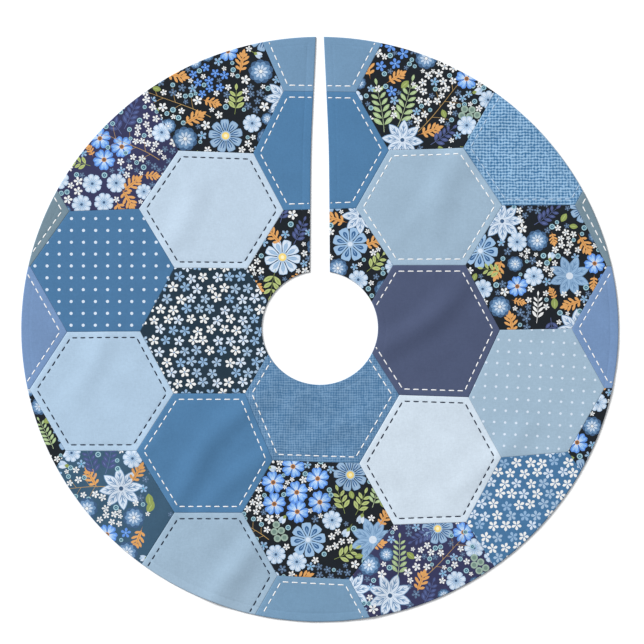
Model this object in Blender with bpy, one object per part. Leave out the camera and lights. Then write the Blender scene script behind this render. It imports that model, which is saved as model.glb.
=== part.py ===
"""A round patchwork tree skirt, lying flat with its slit open along +Y.

Hexagon patches lie edge to edge on top. Under them, side by side in one layer, are the lining and
the facings that finish the outer edge, the trunk hole and the slit. Beside the slit, a strip on
each side folds up and back, so that the skirt opens wide enough to go round a trunk.
Units are metres, +Z is up, and the origin is on the floor at the centre of the trunk hole.
"""

import math

import bmesh
import bpy
from mathutils import Vector

# Driving dimensions
OUTER_RADIUS = 0.559  # a 44 inch skirt
TRUNK_RADIUS = 0.109
PATCH_SIDE = 0.1357
SLIT_HALF_WIDTH = 0.0197  # at the centre of the trunk hole
SLIT_HALF_WAIST = 0.0172  # where the slit starts to close
SLIT_HALF_MOUTH = 0.0075  # at the outer edge
SLIT_WAIST_Y = 0.345
FOLD_X = 0.066  # each fold line's distance from the slit's middle
FOLD_ABOVE_TOP = 0.001  # the fold's axis lies just above the cloth, so that the cloth folds clear
FACING_WIDTH = 0.015
LINING_THICKNESS = 0.0012
PATCH_THICKNESS = 0.0012
GAP = 0.0003  # left between pieces that touch
ROUND_STEPS = 144  # sides of a full circle

# The patches are a little uneven. The corners where they meet are counted in half patch sides along
# X and half row pitches along Y from the trunk hole's centre. Each of these strays from the even
# grid by so much along X and Y, in millimetres.
CORNER_STRAYS = {
    (-2, 5): (11, 0),
    (2, 5): (2, 0),
    (-5, 4): (8, 0),
    (-1, 4): (0, -16),
    (1, 4): (0, -18),
    (-4, 3): (6, -13),
    (-2, 3): (11, -18),
    (2, 3): (-6, -12),
    (4, 3): (-2, -8),
    (-7, 2): (5, -12),
    (-5, 2): (0, -7),
    (-1, 2): (0, -10),
    (1, 2): (0, -6),
    (5, 2): (3, -1),
    (7, 2): (4, 0),
    (-4, 1): (-1, -3),
    (-2, 1): (0, -4),
    (2, 1): (2, 2),
    (4, 1): (2, 2),
    (8, 1): (-4, 0),
    (-7, 0): (2, -8),
    (-5, 0): (3, -7),
    (5, 0): (-2, -4),
    (7, 0): (-3, -2),
    (-4, -1): (-2, -8),
    (-2, -1): (-4, -8),
    (2, -1): (13, -11),
    (4, -1): (7, -15),
    (8, -1): (-10, 2),
    (-5, -2): (-3, 0),
    (-1, -2): (-20, -18),
    (1, -2): (6, -24),
    (5, -2): (0, -13),
    (7, -2): (-11, -2),
    (-2, -3): (-9, 0),
    (2, -3): (2, -23),
    (4, -3): (2, -18),
    (-5, -4): (-5, 0),
    (-1, -4): (-11, -2),
    (1, -4): (-13, -9),
    (5, -4): (-4, 0),
    (-2, -5): (-8, 0),
    (2, -5): (-23, 0),
}
# A patch's corners in those half sides and half pitches, counter-clockwise from the one towards +X
HEXAGON = ((2, 0), (1, 1), (-1, 1), (-2, 0), (-1, -1), (1, -1))

# Worked out from them
COLUMN_PITCH = 1.5 * PATCH_SIDE
ROW_PITCH = math.sqrt(3) * PATCH_SIDE
LINING_RADIUS = OUTER_RADIUS - FACING_WIDTH - GAP
PATCH_BOTTOM = LINING_THICKNESS + GAP
FOLD_Z = PATCH_BOTTOM + PATCH_THICKNESS + FOLD_ABOVE_TOP
CUT_HEIGHT = 0.1  # a cutter's, far over and under the cloth
BEYOND = 2 * OUTER_RADIUS  # past every edge

# Fabrics, in linear RGB
FABRICS = {
    "slate_plain": (0.17, 0.30, 0.46),
    "blue_plain": (0.078, 0.202, 0.376),
    "steel_plain": (0.178, 0.314, 0.468),
    "pale_plain": (0.515, 0.638, 0.768),
    "sky_plain": (0.429, 0.578, 0.738),
    "ice_plain": (0.624, 0.723, 0.823),
    "mist_plain": (0.335, 0.468, 0.598),
    "navy_plain": (0.076, 0.098, 0.178),
    "grey_plain": (0.170, 0.250, 0.310),
    "periwinkle_plain": (0.175, 0.280, 0.490),
    "ink_floral": (0.068, 0.089, 0.100),
    "indigo_floral": (0.110, 0.150, 0.270),
    "teal_floral": (0.110, 0.190, 0.250),
    "navy_ditsy": (0.068, 0.100, 0.136),
    "steel_ditsy": (0.159, 0.283, 0.434),
    "blue_dotted": (0.078, 0.198, 0.366),
    "mist_dotted": (0.356, 0.491, 0.617),
    "denim_weave": (0.122, 0.250, 0.418),
    "slub_weave": (0.184, 0.332, 0.503),
    "lining_cotton": (0.700, 0.720, 0.750),
    "facing_cotton": (0.520, 0.600, 0.690),
}
FABRIC_ROUGHNESS = 0.9

# Whole patches: name, fabric, columns right of the slit, and rows behind the trunk hole
WHOLE_PATCHES = (
    ("grey_patch_far_left", "grey_plain", -3, 1),
    ("periwinkle_patch_far_left", "periwinkle_plain", -3, 0),
    ("floral_patch_far_left", "ink_floral", -3, -1),
    ("floral_patch_left_back", "indigo_floral", -2, 1.5),
    ("dotted_patch_left", "blue_dotted", -2, 0.5),
    ("sky_patch_left", "sky_plain", -2, -0.5),
    ("floral_patch_left_front", "teal_floral", -2, -1.5),
    ("floral_patch_back_left", "ink_floral", -1, 2),
    ("pale_patch_back_left", "pale_plain", -1, 1),
    ("ditsy_patch_trunk_left", "navy_ditsy", -1, 0),
    ("blue_patch_front_left", "blue_plain", -1, -1),
    ("mist_patch_front_left", "mist_plain", -1, -2),
    ("denim_patch_trunk_front", "denim_weave", 0, -0.5),
    ("floral_patch_front", "ink_floral", 0, -1.5),
    ("steel_patch_front", "steel_plain", 0, -2.5),
    ("floral_patch_back_right", "ink_floral", 1, 2),
    ("mist_patch_back_right", "mist_plain", 1, 1),
    ("navy_patch_trunk_right", "navy_plain", 1, 0),
    ("ice_patch_front_right", "ice_plain", 1, -1),
    ("floral_patch_front_right", "indigo_floral", 1, -2),
    ("slub_patch_right_back", "slub_weave", 2, 1.5),
    ("floral_patch_right", "ink_floral", 2, 0.5),
    ("dotted_patch_right", "mist_dotted", 2, -0.5),
    ("ditsy_patch_right_front", "steel_ditsy", 2, -1.5),
    ("grey_patch_far_right", "grey_plain", 3, 1),
    ("periwinkle_patch_far_right", "periwinkle_plain", 3, 0),
    ("floral_patch_far_right", "ink_floral", 3, -1),
)
# Patches that the slit parts in two and the fold lines cross: name, fabric, rows behind the hole
SLIT_PATCHES = (
    ("slate_patch_mouth", "slate_plain", 2.5),
    ("blue_patch_slit", "blue_plain", 1.5),
    ("floral_patch_trunk_back", "ink_floral", 0.5),
)
SIDES = (("left", -1), ("right", 1))


def clear_scene():
    for obj in list(bpy.data.objects):
        bpy.data.objects.remove(obj)


def new_collection(name):
    collection = bpy.data.collections.new(name)
    bpy.context.scene.collection.children.link(collection)
    return collection


def fabric_material(name):
    material = bpy.data.materials.new(name)
    material.use_nodes = True
    shader = material.node_tree.nodes["Principled BSDF"]
    shader.inputs["Base Color"].default_value = (*FABRICS[name], 1.0)
    shader.inputs["Roughness"].default_value = FABRIC_ROUGHNESS
    shader.inputs["Metallic"].default_value = 0.0
    return material


def move_to(collection, obj):
    for old in list(obj.users_collection):
        old.objects.unlink(obj)
    collection.objects.link(obj)


def as_cutter(name, obj):
    """Turns a solid into a helper that only cuts."""
    obj.name = name
    obj.hide_render = True
    obj.display_type = "WIRE"
    move_to(cutters, obj)
    return obj


def as_piece(name, fabric, obj):
    """Turns a solid into a piece of the skirt, made of this fabric."""
    obj.name = name
    obj.data.materials.append(materials[fabric])
    move_to(skirt, obj)
    return obj


def boolean(obj, operation, others):
    for other in others:
        modifier = obj.modifiers.new(f"{operation.lower()} {other.name}", "BOOLEAN")
        modifier.operation = operation
        modifier.object = other


def layer(radius, bottom, thickness):
    """A round layer of cloth about the trunk hole's centre."""
    bpy.ops.mesh.primitive_cylinder_add(
        vertices=ROUND_STEPS,
        radius=radius,
        depth=thickness,
        location=(0, 0, bottom + thickness / 2),
    )
    return bpy.context.object


def round_cutter(name, radius):
    return as_cutter(name, layer(radius, -CUT_HEIGHT / 2, CUT_HEIGHT))


def box_cutter(name, low, high):
    """A block between two corners in plan."""
    middle = [(a + b) / 2 for a, b in zip(low, high)]
    bpy.ops.mesh.primitive_cube_add(size=1, location=(*middle, 0))
    obj = bpy.context.object
    obj.dimensions = (high[0] - low[0], high[1] - low[1], CUT_HEIGHT)
    bpy.ops.object.transform_apply(location=False, rotation=False, scale=True)
    return as_cutter(name, obj)


def slit_cutter(name, margin):
    """The slit, from the centre of the trunk hole to past the outer edge, with a margin beside it."""
    right_side = (
        (SLIT_HALF_WIDTH + margin, 0),
        (SLIT_HALF_WAIST + margin, SLIT_WAIST_Y),
        (SLIT_HALF_MOUTH + margin, OUTER_RADIUS),
        (SLIT_HALF_MOUTH + margin, BEYOND),
    )
    left_side = [(-x, y) for x, y in reversed(right_side)]
    return as_cutter(name, flat_solid([*right_side, *left_side], 0, CUT_HEIGHT))


def flat_solid(outline, middle, thickness):
    """A solid with this outline in plan, this thick about the height of its middle."""
    curve = bpy.data.curves.new("outline", "CURVE")
    curve.dimensions = "2D"
    curve.fill_mode = "BOTH"
    curve.extrude = thickness / 2
    spline = curve.splines.new("POLY")
    spline.points.add(len(outline) - 1)
    for point, (x, y) in zip(spline.points, outline):
        point.co = (x, y, 0, 1)
    spline.use_cyclic_u = True
    obj = closed_mesh(curve)
    obj.location.z = middle
    return obj


def closed_mesh(curve):
    """A mesh object of a curve, with its caps welded on and its faces turned outwards."""
    drawn = bpy.data.objects.new("drawn", curve)
    cutters.objects.link(drawn)
    evaluated = drawn.evaluated_get(bpy.context.evaluated_depsgraph_get())
    mesh = bpy.data.meshes.new_from_object(evaluated)
    bpy.data.objects.remove(drawn)
    shape = bmesh.new()
    shape.from_mesh(mesh)
    bmesh.ops.remove_doubles(shape, verts=shape.verts, dist=1e-6)
    bmesh.ops.recalc_face_normals(shape, faces=shape.faces)
    shape.to_mesh(mesh)
    shape.free()
    obj = bpy.data.objects.new("closed", mesh)
    cutters.objects.link(obj)
    return obj


def hang_on_fold(obj, fold):
    """Parents a piece to its fold line and leaves it where it is."""
    obj.parent = fold
    obj.matrix_parent_inverse = fold.matrix_world.inverted()


def fold_line(side, sign):
    """The empty whose Y axis is the line that one side of the slit folds about."""
    fold = bpy.data.objects.new(f"{side}_fold", None)
    fold.location = (sign * FOLD_X, (TRUNK_RADIUS + OUTER_RADIUS) / 2, FOLD_Z)
    fold.empty_display_size = FACING_WIDTH
    skirt.objects.link(fold)
    return fold


def corner(half_sides, half_pitches):
    """Where patches meet, with its stray from the even grid."""
    stray = CORNER_STRAYS.get((half_sides, half_pitches), (0, 0))
    even = Vector((half_sides * PATCH_SIDE / 2, half_pitches * ROW_PITCH / 2))
    return even + Vector(stray) / 1000


def inset(corners, distance):
    """The corners of a counter-clockwise outline, its sides moved inwards."""
    moved = []
    for before, here, after in zip(corners[-1:] + corners[:-1], corners, corners[1:] + corners[:1]):
        first = (here - before).orthogonal().normalized()
        second = (after - here).orthogonal().normalized()
        moved.append(here + (first + second) * distance / (1 + first.dot(second)))
    return moved


def patch(name, fabric, column, row):
    """One hexagon patch, cut to the skirt's round edges where it reaches them."""
    corners = [corner(3 * column + x, int(2 * row) + y) for x, y in HEXAGON]
    middle = PATCH_BOTTOM + PATCH_THICKNESS / 2
    obj = flat_solid(inset(corners, GAP / 2), middle, PATCH_THICKNESS)
    if max(place.length for place in corners) > OUTER_RADIUS:
        boolean(obj, "INTERSECT", [outer_edge])
    if math.hypot(column * COLUMN_PITCH, row * ROW_PITCH) - PATCH_SIDE < TRUNK_RADIUS:
        boolean(obj, "DIFFERENCE", [trunk_hole])
    return as_piece(name, fabric, obj)


def slit_patches(name, fabric, row):
    """A patch beside the slit: on each side a strip that folds, and a corner that stays flat."""
    for side, sign in SIDES:
        strip = patch(f"{name}_{side}_strip", fabric, 0, row)
        boolean(strip, "INTERSECT", [strips[side]])
        boolean(strip, "DIFFERENCE", [slit])
        hang_on_fold(strip, folds[side])
        flat = patch(f"{name}_{side}_corner", fabric, 0, row)
        boolean(flat, "INTERSECT", [beyond_fold[side]])


def backing(name, fabric, radius, hole, slit_edge):
    """A piece of the layer on the floor, in three parts: a flat one, and one in each strip."""
    flat = as_piece(name, fabric, layer(radius, 0, LINING_THICKNESS))
    boolean(flat, "DIFFERENCE", [hole, both_strips])
    for side, _ in SIDES:
        strip = layer(radius, 0, LINING_THICKNESS)
        as_piece(f"{name}_{side}_strip", fabric, strip)
        boolean(strip, "INTERSECT", [strips[side]])
        boolean(strip, "DIFFERENCE", [hole, slit_edge])
        hang_on_fold(strip, folds[side])


def slit_facings():
    """The strip along each side of the slit, between the hole's facing and the outer one."""
    for side, _ in SIDES:
        obj = layer(LINING_RADIUS, 0, LINING_THICKNESS)
        boolean(obj, "INTERSECT", [slit_and_facing, strips[side]])
        boolean(obj, "DIFFERENCE", [slit, hole_and_facing_gap])
        as_piece(f"slit_facing_{side}", "facing_cotton", obj)
        hang_on_fold(obj, folds[side])


clear_scene()
skirt = new_collection("tree_skirt")
cutters = new_collection("cutters")
materials = {name: fabric_material(name) for name in FABRICS}

outer_edge = round_cutter("outer_edge", OUTER_RADIUS)
trunk_hole = round_cutter("trunk_hole", TRUNK_RADIUS)
hole_and_facing_gap = round_cutter("hole_and_facing_gap", TRUNK_RADIUS + FACING_WIDTH + GAP)
inside_outer_facing = round_cutter("inside_outer_facing", OUTER_RADIUS - FACING_WIDTH)
slit = slit_cutter("slit", 0)
slit_and_facing = slit_cutter("slit_and_facing", FACING_WIDTH)
slit_and_facing_gap = slit_cutter("slit_and_facing_gap", FACING_WIDTH + GAP)
both_strips = box_cutter("both_strips", (-FOLD_X, 0), (FOLD_X, BEYOND))
strips = {
    "left": box_cutter("left_strip", (GAP - FOLD_X, 0), (0, BEYOND)),
    "right": box_cutter("right_strip", (0, 0), (FOLD_X - GAP, BEYOND)),
}
beyond_fold = {
    "left": box_cutter("left_corner", (-BEYOND, 0), (-FOLD_X, BEYOND)),
    "right": box_cutter("right_corner", (FOLD_X, 0), (BEYOND, BEYOND)),
}
folds = {side: fold_line(side, sign) for side, sign in SIDES}
bpy.context.view_layer.update()

backing("lining", "lining_cotton", LINING_RADIUS, hole_and_facing_gap, slit_and_facing_gap)
backing("outer_facing", "facing_cotton", OUTER_RADIUS, inside_outer_facing, slit)
backing("trunk_facing", "facing_cotton", TRUNK_RADIUS + FACING_WIDTH, trunk_hole, slit)
slit_facings()
for whole_patch in WHOLE_PATCHES:
    patch(*whole_patch)
for slit_patch in SLIT_PATCHES:
    slit_patches(*slit_patch)
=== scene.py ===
"""The looks of the patchwork tree skirt: printed, woven and plain cotton patches with running
stitches, over a lining and facings, all lying on one softly rippled sheet of cloth.

Every piece is first drawn flat, in metres, and then laid on the sheet. A patch's print is inlaid:
the outlines of its flowers and dots are edges of its mesh, and each face keeps its own dye."""

import math
import random
import zlib

import bpy
import numpy as np
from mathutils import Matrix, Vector
from mathutils.geometry import delaunay_2d_cdt


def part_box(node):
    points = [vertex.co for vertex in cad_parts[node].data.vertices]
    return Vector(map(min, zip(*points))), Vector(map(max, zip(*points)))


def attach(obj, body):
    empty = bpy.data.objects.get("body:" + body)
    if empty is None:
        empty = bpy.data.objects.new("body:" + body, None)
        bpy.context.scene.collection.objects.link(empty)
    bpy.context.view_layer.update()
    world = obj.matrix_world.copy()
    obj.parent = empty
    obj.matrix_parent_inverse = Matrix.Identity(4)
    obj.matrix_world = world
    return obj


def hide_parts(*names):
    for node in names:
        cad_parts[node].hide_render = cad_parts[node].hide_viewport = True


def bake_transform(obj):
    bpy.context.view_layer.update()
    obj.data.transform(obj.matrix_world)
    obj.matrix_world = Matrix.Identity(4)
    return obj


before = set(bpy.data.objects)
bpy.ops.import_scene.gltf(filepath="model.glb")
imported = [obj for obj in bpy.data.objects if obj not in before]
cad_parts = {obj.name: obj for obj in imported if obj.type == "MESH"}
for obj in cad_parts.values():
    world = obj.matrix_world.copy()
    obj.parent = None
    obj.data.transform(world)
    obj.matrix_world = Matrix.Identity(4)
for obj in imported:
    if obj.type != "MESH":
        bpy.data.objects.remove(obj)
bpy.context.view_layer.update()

# ---- sizes, from the frame where it has them
MM = 0.001
FACING_WIDTH = 15 * MM
OUTER_RADIUS = -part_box("outer_facing")[0].y
TRUNK_RADIUS = -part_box("trunk_facing")[0].y - FACING_WIDTH
PATCH_SIDE = 135.7 * MM
ROW_PITCH = math.sqrt(3) * PATCH_SIDE
# The corners where patches meet, counted in half patch sides along X and half row pitches along Y,
# and how far each strays from the even grid along X and Y in millimetres, as in the CAD
CORNER_STRAYS = {
    (-2, 5): (11, 0), (2, 5): (2, 0), (-5, 4): (8, 0), (-1, 4): (0, -16), (1, 4): (0, -18),
    (-4, 3): (6, -13), (-2, 3): (11, -18), (2, 3): (-6, -12), (4, 3): (-2, -8), (-7, 2): (5, -12),
    (-5, 2): (0, -7), (-1, 2): (0, -10), (1, 2): (0, -6), (5, 2): (3, -1), (7, 2): (4, 0),
    (-4, 1): (-1, -3), (-2, 1): (0, -4), (2, 1): (2, 2), (4, 1): (2, 2), (8, 1): (-4, 0),
    (-7, 0): (2, -8), (-5, 0): (3, -7), (5, 0): (-2, -4), (7, 0): (-3, -2), (-4, -1): (-2, -8),
    (-2, -1): (-4, -8), (2, -1): (13, -11), (4, -1): (7, -15), (8, -1): (-10, 2), (-5, -2): (-3, 0),
    (-1, -2): (-20, -18), (1, -2): (6, -24), (5, -2): (0, -13), (7, -2): (-11, -2), (-2, -3): (-9, 0),
    (2, -3): (2, -23), (4, -3): (2, -18), (-5, -4): (-5, 0), (-1, -4): (-11, -2), (1, -4): (-13, -9),
    (5, -4): (-4, 0), (-2, -5): (-8, 0), (2, -5): (-23, 0),
}
LINING_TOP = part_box("lining")[1].z
PATCH_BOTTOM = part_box("floral_patch_front")[0].z
PATCH_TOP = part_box("floral_patch_front")[1].z
FOLD_X = -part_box("slate_patch_mouth_left_corner")[1].x
FOLD_COLUMNS, FOLD_COLUMN_PITCH, FOLD_ROW_PITCH = 11, 1.65 * MM, 5.3 * MM
SEAM_GAP = 0.1 * MM
EDGE_ROUND = 1.0 * MM
PATCH_UNDERSIDE = PATCH_BOTTOM - 0.2 * MM  # soft cloth lies closer to the lining than in the CAD
STITCH_INSET = 11.5 * MM
WEAVE_GRID = 1.15 * MM
CLOTH_GRID = 7 * MM
SIDES = (("left", -1), ("right", 1))


def srgb(red, green, blue):
    """A linear colour from the 0 to 255 values of a colour chart."""
    return tuple(((c / 255 + 0.055) / 1.055) ** 2.4 if c > 10 else c / 255 / 12.92
                 for c in (red, green, blue))


LIGHT_SHARE = 0.88  # what share of a dye's chart value the cloth reflects
DYES = {
    "ink": srgb(31, 36, 42), "indigo": srgb(57, 59, 93), "teal": srgb(62, 92, 116),
    "ditsy_ink": srgb(38, 56, 70), "ditsy_steel": srgb(73, 118, 160), "white": srgb(238, 240, 240),
    "snow": srgb(214, 227, 242), "frost": srgb(194, 213, 234), "haze": srgb(166, 192, 218),
    "powder": srgb(148, 182, 216), "steel": srgb(110, 146, 184), "slate": srgb(96, 120, 150),
    "dusk": srgb(66, 96, 132), "denim": srgb(56, 98, 146), "cornflower": srgb(100, 150, 228),
    "sky": srgb(148, 192, 242), "teal_ring": srgb(54, 100, 126), "petal_grey": srgb(150, 180, 210),
    "petal_blue": srgb(156, 190, 224), "aqua": srgb(160, 198, 210), "cyan": srgb(86, 186, 220),
    "butter": srgb(244, 216, 128), "cream": srgb(250, 240, 200), "sage": srgb(170, 194, 144),
    "sage_light": srgb(196, 214, 172), "moss": srgb(146, 162, 92), "lime": srgb(180, 194, 126),
    "oak": srgb(222, 164, 100), "oak_dark": srgb(198, 136, 74), "twig": srgb(184, 152, 96),
    "brown": srgb(128, 92, 72), "violet_leaf": srgb(76, 88, 134), "violet_light": srgb(104, 118, 168),
    "pod": srgb(156, 180, 166), "pod_dark": srgb(118, 144, 134),
}


# ---- the sheet that all lies on
def slit_half_width(y):
    """The slit narrows slowly from the trunk hole, then faster near the outer edge."""
    slow = 0.0197 - 0.0025 * y / 0.345
    fast = 0.0172 - 0.0097 * (y - 0.345) / (OUTER_RADIUS - 0.345)
    softness = 0.0008
    return -softness * np.log(np.exp(-slow / softness) + np.exp(-fast / softness))


def smooth_step(x, low, high):
    t = np.clip((np.asarray(x, float) - low) / (high - low), 0, 1)
    return t * t * (3 - 2 * t)


# Long soft folds: centre, direction in degrees, half length, half width and height, judged
FOLDS = (
    (-0.205, -0.235, 52, 0.17, 0.026, 0.0029),
    (-0.150, -0.280, 50, 0.12, 0.020, 0.0020),
    (0.185, 0.010, 40, 0.13, 0.024, 0.0034),
    (0.225, 0.235, 55, 0.15, 0.028, 0.0022),
    (0.160, 0.190, 60, 0.10, 0.022, 0.0015),
    (-0.160, -0.470, 62, 0.12, 0.028, 0.0032),
    (0.120, -0.480, 66, 0.11, 0.026, 0.0024),
    (-0.270, 0.190, 58, 0.15, 0.030, 0.0018),
    (0.310, -0.260, 48, 0.17, 0.030, 0.0022),
    (-0.430, -0.060, 66, 0.14, 0.032, 0.0020),
    (0.440, 0.110, 70, 0.14, 0.032, 0.0022),
    (-0.300, 0.360, 44, 0.12, 0.026, 0.0020),
    (0.300, 0.370, 50, 0.12, 0.026, 0.0018),
    (0.010, -0.300, 55, 0.15, 0.028, 0.0018),
    (-0.390, -0.300, 40, 0.12, 0.028, 0.0024),
    (0.020, -0.190, 30, 0.10, 0.022, 0.0014),
)


def laid_folds(x, y):
    """How high the cloth stands off the floor as it is laid down, before it settles."""
    height = np.zeros_like(x)
    for centre_x, centre_y, degrees, half_length, half_width, top in FOLDS:
        c, s = math.cos(math.radians(degrees)), math.sin(math.radians(degrees))
        along = (x - centre_x) * c + (y - centre_y) * s
        across = (y - centre_y) * c - (x - centre_x) * s
        across = across + 0.010 * np.sin(along * 19 + centre_x * 40)
        height += top * np.exp(-(along / half_length) ** 2 - (across / half_width) ** 2)
    return height


class Sheet:
    """The height of the cloth over the floor, on a square grid a little larger than the skirt."""

    def __init__(self):
        self.step = 10 * MM
        self.count = int(2 * (OUTER_RADIUS + 30 * MM) / self.step) + 1
        self.low = -self.step * (self.count - 1) / 2
        line = self.low + self.step * np.arange(self.count)
        self.x, self.y = np.meshgrid(line, line, indexing="ij")
        self.height = laid_folds(self.x, self.y)

    def at(self, x, y):
        """The height at any places, smooth between the grid's points."""
        fx = np.clip((x - self.low) / self.step, 0, self.count - 1.001)
        fy = np.clip((y - self.low) / self.step, 0, self.count - 1.001)
        return cubic(self.height, fx, fy)


def cubic(grid, fx, fy):
    """Catmull-Rom interpolation in a grid, at fractional places."""
    def weights(t):
        return np.stack([
            -0.5 * t ** 3 + t ** 2 - 0.5 * t,
            1.5 * t ** 3 - 2.5 * t ** 2 + 1,
            -1.5 * t ** 3 + 2 * t ** 2 + 0.5 * t,
            0.5 * t ** 3 - 0.5 * t ** 2,
        ])
    ix, iy = np.floor(fx).astype(int), np.floor(fy).astype(int)
    wx, wy = weights(fx - ix), weights(fy - iy)
    total = np.zeros_like(fx)
    for a in range(4):
        for b in range(4):
            jx = np.clip(ix + a - 1, 0, grid.shape[0] - 1)
            jy = np.clip(iy + b - 1, 0, grid.shape[1] - 1)
            total += wx[a] * wy[b] * grid[jx, jy]
    return total


def flat_by_the_slit(x, y):
    """How much of the lift is kept: all of it over most of the skirt, and a tenth beside the slit,
    so that the sides that fold back stay nearly flat."""
    beside = smooth_step(np.abs(x), 0.10, 0.22)
    in_front = 1 - smooth_step(y, 0.0, 0.08)
    return np.where(y > 0, np.maximum(beside, in_front), 1.0) * 0.9 + 0.1


sheet = Sheet()


def lay(flat, height):
    """World points of flat points that are this far above the sheet's underside."""
    x, y = flat.T
    lift = sheet.at(x, y) * flat_by_the_slit(x, y)
    return np.column_stack([x, y, np.maximum(lift, 0) + height])


# ---- flat outlines
def arc(radius, turn):
    return np.column_stack([radius * np.cos(turn), radius * np.sin(turn)])


def circle(radius, steps, centre=(0, 0)):
    return arc(radius, np.linspace(0, 2 * np.pi, steps, endpoint=False)) + centre


def sides_of(outline):
    """The two ends of each side of an outline."""
    return zip(outline, np.roll(outline, -1, axis=0))


def patch_corners(column, row):
    """Where a patch's six corners are, counter-clockwise from the one towards +X."""
    corners = []
    for x, y in ((2, 0), (1, 1), (-1, 1), (-2, 0), (-1, -1), (1, -1)):
        x, y = x + 3 * column, y + int(2 * row)
        stray = np.array(CORNER_STRAYS.get((x, y), (0, 0))) * MM
        corners.append(np.array([x * PATCH_SIDE / 2, y * ROW_PITCH / 2]) + stray)
    return np.array(corners)


def side_normals(corners):
    """The directions into a patch from its sides, each side starting at the corner listed."""
    along = np.roll(corners, -1, axis=0) - corners
    along /= np.linalg.norm(along, axis=1)[:, None]
    return np.column_stack([-along[:, 1], along[:, 0]])


def moved_in(corners, distance):
    """A patch's corners with its sides moved this far inwards."""
    after = side_normals(corners)
    before = np.roll(after, 1, axis=0)
    share = distance / (1 + (before * after).sum(axis=1))
    return corners + (before + after) * share[:, None]


def hexagon(corners, inset, steps=20):
    """A patch's outline this far inside it, with points along its sides to follow the sheet."""
    ends = moved_in(corners, inset)
    t = np.arange(steps)[:, None] / steps
    return np.vstack([a + (b - a) * t for a, b in sides_of(ends)])


def beside_slit(x, y):
    """How far outside the slit."""
    return np.abs(x) - slit_half_width(np.clip(y, 0, OUTER_RADIUS))


def slit_side(sign, margin, reach=0.62):
    """The region on one side of the slit, behind the trunk hole's centre."""
    y = np.linspace(-0.03, reach, 66)
    edge = sign * (slit_half_width(y) + margin)
    outline = np.column_stack([edge, y])
    return np.vstack([outline, [[sign * reach, reach], [sign * reach, -0.03]]])


def sector(inner, outer, start, end):
    """Part of a ring, between two angles in degrees."""
    steps = max(int(abs(end - start) * outer / 0.25), 12)
    turn = np.radians(np.linspace(start, end, steps))
    out, back = arc(outer, turn), arc(inner, turn[::-1])
    t = np.linspace(0, 1, max(int((outer - inner) / CLOTH_GRID), 2), endpoint=False)[1:, None]
    return np.vstack([out, out[-1] + (back[0] - out[-1]) * t, back, back[-1] + (out[0] - back[-1]) * t])


def counter_clockwise(points):
    x, y = points[:, 0], points[:, 1]
    area = np.dot(x, np.roll(y, -1)) - np.dot(y, np.roll(x, -1))
    return points if area > 0 else points[::-1]


def fold_points(low, high):
    """Close columns of points where the cloth rolls over a fold line, the same for every layer, so
    that no layer shows through another when it is folded."""
    columns = FOLD_X + 1.2 * MM - np.arange(FOLD_COLUMNS) * FOLD_COLUMN_PITCH
    xs = np.concatenate([-columns, columns])
    gx, gy = np.meshgrid(xs, np.arange(90 * MM, OUTER_RADIUS, FOLD_ROW_PITCH), indexing="ij")
    points = np.column_stack([gx.ravel(), gy.ravel()])
    return points[((points > low) & (points < high)).all(axis=1)]


class Drawing:
    """Outlines on a flat piece: what bounds it, what is cut away, and what is inlaid, in order."""

    def __init__(self, bounds, cuts=()):
        self.faces = []
        self.keep = [self.add(points) for points in bounds]
        self.cut = [self.add(points) for points in cuts]
        self.dyes = {}
        self.loose = []

    def add(self, points, dye=None):
        self.faces.append(counter_clockwise(np.asarray(points, float)))
        if dye is not None:
            self.dyes[len(self.faces) - 1] = dye
        return len(self.faces) - 1

    def grid(self, pitch):
        """Loose points that let the piece follow the sheet, in staggered columns."""
        outline = self.faces[0]
        low, high = outline.min(0), outline.max(0)
        xs = np.arange(low[0] + pitch * 0.37, high[0], pitch)
        ys = np.arange(low[1] + pitch * 0.41, high[1], pitch * math.sqrt(3) / 2)
        gx, gy = np.meshgrid(xs, ys, indexing="ij")
        gx = gx + pitch / 2 * (np.arange(len(ys)) % 2)[None, :]
        points = np.vstack([np.column_stack([gx.ravel(), gy.ravel()]), fold_points(low, high)])
        self.loose = points[inside(points, outline)]

    def triangles(self):
        """(points, triangles, dye of each) of what is kept."""
        points = np.vstack([*self.faces, self.loose] if len(self.loose) else self.faces) / MM
        rings, start = [], 0
        for outline in self.faces:
            rings.append(list(range(start, start + len(outline))))
            start += len(outline)
        out = delaunay_2d_cdt([Vector(p) for p in points], [], rings, 1, 1e-5, True)
        verts, faces, owners = out[0], out[2], out[5]
        keep, cut = set(self.keep), set(self.cut)
        kept, dyes = [], []
        for face, owner in zip(faces, owners):
            owner = set(owner)
            if not keep <= owner or cut & owner:
                continue
            kept.append(face)
            inlays = [i for i in owner if i in self.dyes]
            dyes.append(self.dyes[max(inlays)] if inlays else None)
        kept = np.array(kept)
        used, index = np.unique(kept, return_inverse=True)
        places = np.array([verts[i] for i in used], float) * MM
        return places, index.reshape(kept.shape), dyes


def inside(points, outline):
    """Which points lie inside an outline."""
    x, y = points[:, 0], points[:, 1]
    found = np.zeros(len(points), bool)
    for (ax, ay), (bx, by) in sides_of(outline):
        if ay == by:
            continue
        found ^= ((ay > y) != (by > y)) & (x < (bx - ax) * (y - ay) / (by - ay) + ax)
    return found


def boundary_loop(triangles):
    """The ring of points round a piece without holes, in order."""
    sides = np.concatenate([triangles[:, [0, 1]], triangles[:, [1, 2]], triangles[:, [2, 0]]])
    sides_there = set(map(tuple, sides.tolist()))
    after = {a: b for a, b in sides_there if (b, a) not in sides_there}
    first = min(after)
    ring, point = [first], after[first]
    while point != first:
        ring.append(point)
        point = after[point]
    if len(ring) != len(after):
        raise ValueError("a piece of cloth has more than one edge loop")
    return ring


def area_of(points, triangles):
    a, b, c = (points[triangles[:, i]] for i in range(3))
    return abs(np.cross(b - a, c - a)).sum() / 2


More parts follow.
